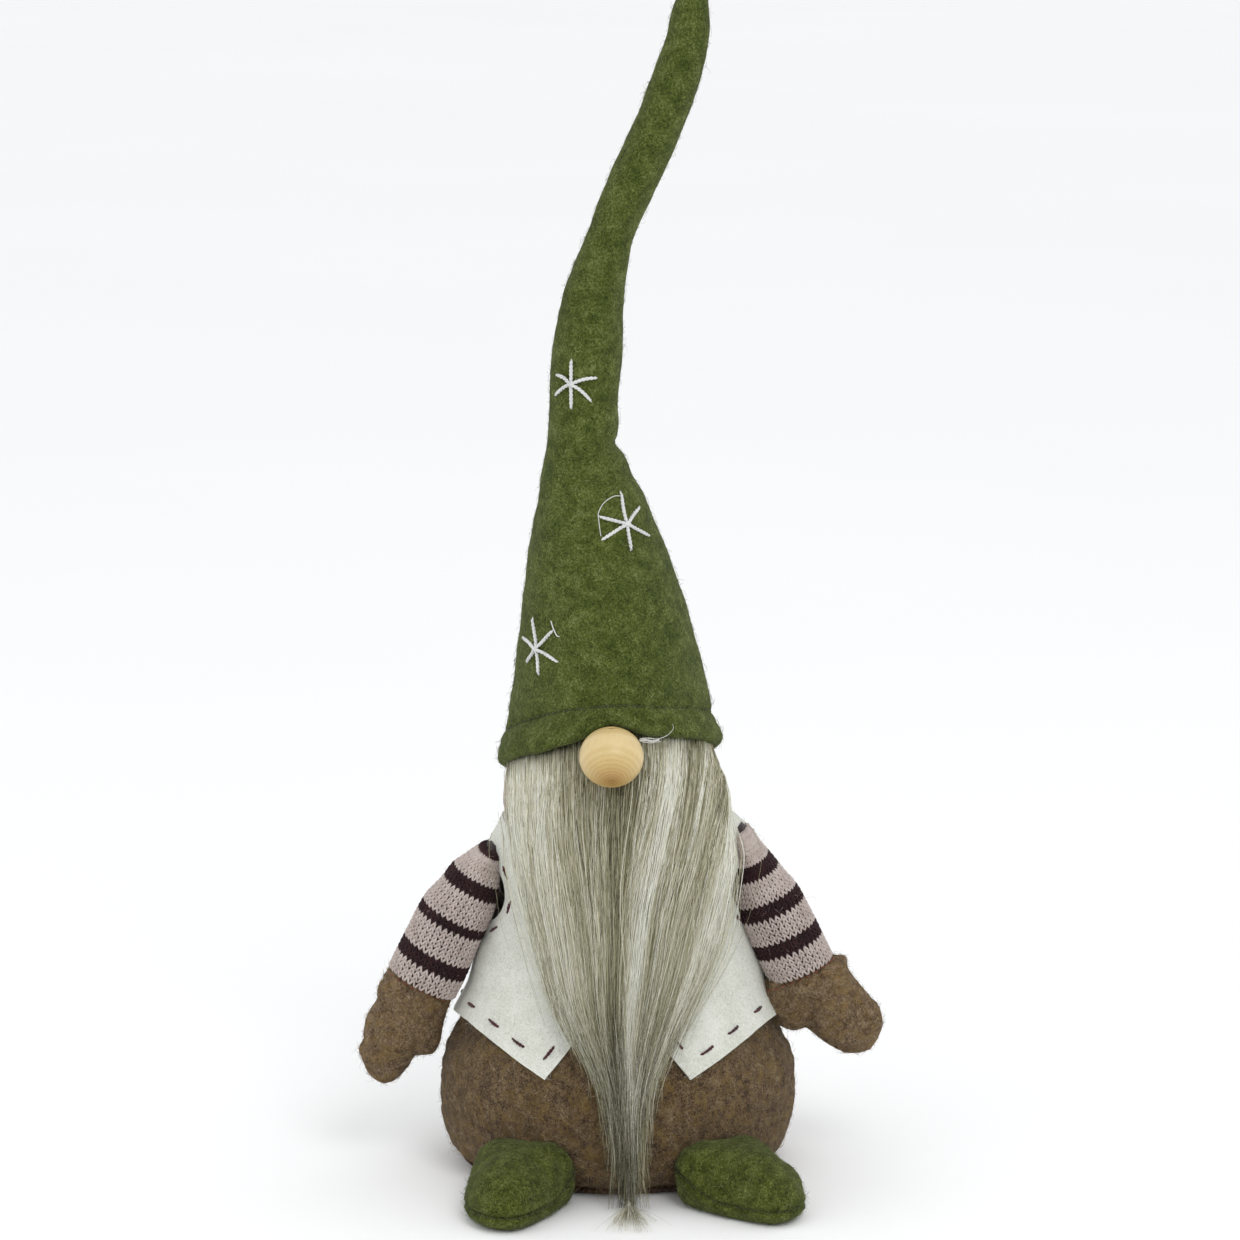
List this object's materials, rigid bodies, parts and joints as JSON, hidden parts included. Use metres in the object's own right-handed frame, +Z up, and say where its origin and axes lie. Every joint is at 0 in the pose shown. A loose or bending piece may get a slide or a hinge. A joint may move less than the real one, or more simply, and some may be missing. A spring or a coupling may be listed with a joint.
{
  "type": "tomte gnome figurine",
  "caption": "Sitting felt gnome with a round weighted body, long fur beard, wooden bead nose, knit sleeves, open vest and a very tall bendable pointed hat.",
  "frame": {"origin": "middle of the flat base panel's underside, on the surface the figure stands on", "axes": "+Z up along the body towards the hat's tip, -Y the way the figure faces, +X towards the figure's own left hand"},
  "size_m": [0.2072, 0.1584, 0.472],
  "materials": {
    "hat_felt": "mottled olive-green wool felt, matt",
    "foot_felt": "dark green wool felt, matt",
    "body_felt": "brown heather wool felt, matt",
    "vest_felt": "off-white craft felt, matt",
    "sleeve_knit": "stocking-stitch knit in pale beige with dark maroon stripes",
    "head_jersey": "dusty-rose jersey",
    "beard_fur": "long faux fur, olive-grey with pale and dark streaks",
    "fur_backing": "knitted fur backing",
    "nose_wood": "clear-varnished pale wood",
    "star_yarn": "white embroidery yarn",
    "sewing_thread": "white cotton thread",
    "stuffing": "white polyester fibre",
    "pellets": "sewn bag of plastic pellets",
    "card": "grey-brown board",
    "wire": "soft annealed steel wire"
  },
  "bodies": {
    "root": {"body_front_panel": "body_felt", "body_back_panel": "body_felt", "base_panel": "body_felt", "base_card": "card", "pellet_bag": "pellets", "body_stuffing": "stuffing", "head_cover": "head_jersey", "head_stuffing": "stuffing", "vest_front_left": "vest_felt", "vest_front_right": "vest_felt", "vest_back": "vest_felt", "hat_cone": "hat_felt", "hat_cone_stuffing": "stuffing", "hat_wire_lower": "wire", "star_lower": "star_yarn", "star_middle": "star_yarn", "beard_backing": "fur_backing", "beard_fur_upper": "beard_fur", "nose_bead": "nose_wood", "nose_thread": "sewing_thread"},
    "hat_tail": {"hat_tail": "hat_felt", "hat_tail_stuffing": "stuffing", "hat_wire_middle": "wire", "star_upper": "star_yarn"},
    "hat_tip": {"hat_tip": "hat_felt", "hat_tip_stuffing": "stuffing", "hat_wire_upper": "wire"},
    "beard": {"beard_fur_lower": "beard_fur"},
    "shoulder_left": {"shoulder_seam_left": "sleeve_knit"},
    "arm_left": {"sleeve_left": "sleeve_knit", "sleeve_stuffing_left": "stuffing", "mitten_rear_left": "body_felt", "mitten_front_left": "body_felt", "mitten_stuffing_left": "stuffing"},
    "foot_left": {"foot_upper_left": "foot_felt", "foot_sole_left": "foot_felt", "foot_stuffing_left": "stuffing"},
    "shoulder_right": {"shoulder_seam_right": "sleeve_knit"},
    "arm_right": {"sleeve_right": "sleeve_knit", "sleeve_stuffing_right": "stuffing", "mitten_rear_right": "body_felt", "mitten_front_right": "body_felt", "mitten_stuffing_right": "stuffing"},
    "foot_right": {"foot_upper_right": "foot_felt", "foot_sole_right": "foot_felt", "foot_stuffing_right": "stuffing"}
  },
  "joints": [
    {"name": "hat_bend", "type": "hinge", "parent": "root", "child": "hat_tail", "pos_m": [-0.0137, 0.006, 0.291], "axis": [0, 1, 0], "range_deg": [-50, 50]},
    {"name": "hat_tip_bend", "type": "hinge", "parent": "hat_tail", "child": "hat_tip", "pos_m": [-0.0074, 0.006, 0.355], "axis": [0, 1, 0], "range_deg": [-60, 60]},
    {"name": "beard_lift", "type": "hinge", "parent": "root", "child": "beard", "pos_m": [0, -0.046, 0.146], "axis": [-1, 0, 0], "range_deg": [0, 70]},
    {"name": "shoulder_swing_left", "type": "hinge", "parent": "root", "child": "shoulder_left", "pos_m": [0.0504, -0.006, 0.135], "axis": [-1, 0, 0], "range_deg": [-35, 50]},
    {"name": "arm_lift_left", "type": "hinge", "parent": "shoulder_left", "child": "arm_left", "pos_m": [0.0504, -0.006, 0.135], "axis": [0, -1, 0], "range_deg": [0, 75]},
    {"name": "foot_flex_left", "type": "hinge", "parent": "root", "child": "foot_left", "pos_m": [0.0381, -0.0508, 0.02], "axis": [-0.788, -0.6157, 0], "range_deg": [0, 30]},
    {"name": "shoulder_swing_right", "type": "hinge", "parent": "root", "child": "shoulder_right", "pos_m": [-0.051, -0.006, 0.1275], "axis": [-1, 0, 0], "range_deg": [-35, 50]},
    {"name": "arm_lift_right", "type": "hinge", "parent": "shoulder_right", "child": "arm_right", "pos_m": [-0.051, -0.006, 0.1275], "axis": [0, 1, 0], "range_deg": [0, 75]},
    {"name": "foot_flex_right", "type": "hinge", "parent": "root", "child": "foot_right", "pos_m": [-0.0352, -0.0523, 0.02], "axis": [-0.9781, 0.2079, 0], "range_deg": [0, 30]}
  ]
}
